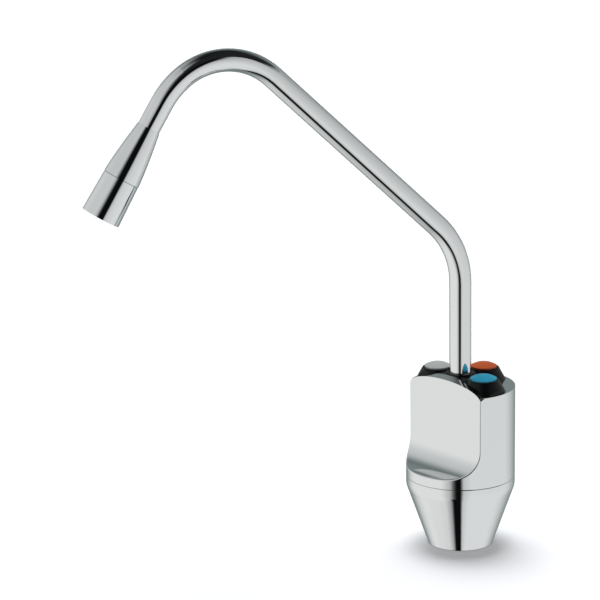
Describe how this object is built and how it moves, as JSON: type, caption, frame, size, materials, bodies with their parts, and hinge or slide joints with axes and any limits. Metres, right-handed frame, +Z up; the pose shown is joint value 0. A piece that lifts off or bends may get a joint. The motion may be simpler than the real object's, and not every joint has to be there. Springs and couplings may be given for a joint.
{
  "type": "three-way filtered water tap",
  "caption": "Tall deck tap with a bent tube spout, a flared nozzle, a scooped round chrome housing on a tapered base and push buttons on top.",
  "frame": {"origin": "on the housing's axis at the underside of the foot, where it stands on the worktop", "axes": "+Z up along the housing's axis, -Y to the scooped front, +X to the side of the blue button"},
  "size_m": [0.1175, 0.2213, 0.3928],
  "materials": {
    "chrome": "polished",
    "black_cover": "satin black",
    "button_blue": "blue, low gloss",
    "button_orange": "orange, low gloss",
    "button_grey": "pale grey, low gloss",
    "brass": "machined",
    "steel": "plain",
    "rubber": "matt",
    "pale_plastic": "moulded"
  },
  "bodies": {
    "tap_body": {"base_cone": "chrome", "body_shell": "chrome", "top_cover": "black_cover", "valve_block": "brass", "channel_plugs": "brass", "bonnet_blue": "brass", "bonnet_orange": "brass", "bonnet_grey": "brass", "threaded_shank": "brass", "spring_blue": "steel", "spring_orange": "steel", "spring_grey": "steel", "spout_clip": "steel", "inlet_tube_blue": "steel", "inlet_tube_orange": "steel", "inlet_tube_grey": "steel", "body_screw": "steel", "cover_screws": "steel", "stem_seal_blue": "rubber", "stem_seal_orange": "rubber", "stem_seal_grey": "rubber", "inlet_seals": "rubber", "deck_seal": "rubber", "spout_bush": "pale_plastic"},
    "spout": {"spout_tube": "chrome", "spout_spigot": "brass", "spout_seals": "rubber", "nozzle_cone": "chrome", "nozzle_seal": "rubber", "nozzle_sleeve": "chrome", "flow_straightener": "pale_plastic"},
    "button_blue": {"button_blue": "button_blue", "stem_blue": "steel", "valve_disc_blue": "rubber"},
    "button_orange": {"button_orange": "button_orange", "stem_orange": "steel", "valve_disc_orange": "rubber"},
    "button_grey": {"button_grey": "button_grey", "stem_grey": "steel", "valve_disc_grey": "rubber"},
    "clamp": {"clamp_seal": "rubber", "clamp_washer": "steel", "back_nut": "brass"}
  },
  "joints": [
    {"name": "spout_turn", "type": "hinge", "parent": "tap_body", "child": "spout", "pos_m": [0, 0, 0.0705], "axis": [0, 0, 1], "continuous": true},
    {"name": "push_blue", "type": "slide", "parent": "tap_body", "child": "button_blue", "axis": [0, 0, -1], "range_m": [0, 0.002], "stiffness_N_per_m": 1500, "springref_m": -0.004, "deforming": ["spring_blue"]},
    {"name": "push_orange", "type": "slide", "parent": "tap_body", "child": "button_orange", "axis": [0, 0, -1], "range_m": [0, 0.002], "stiffness_N_per_m": 1500, "springref_m": -0.004, "deforming": ["spring_orange"]},
    {"name": "push_grey", "type": "slide", "parent": "tap_body", "child": "button_grey", "axis": [0, 0, -1], "range_m": [0, 0.002], "stiffness_N_per_m": 1500, "springref_m": -0.004, "deforming": ["spring_grey"]},
    {"name": "clamp_slide", "type": "slide", "parent": "tap_body", "child": "clamp", "axis": [0, 0, 1], "range_m": [-0.016, 0.027]}
  ]
}
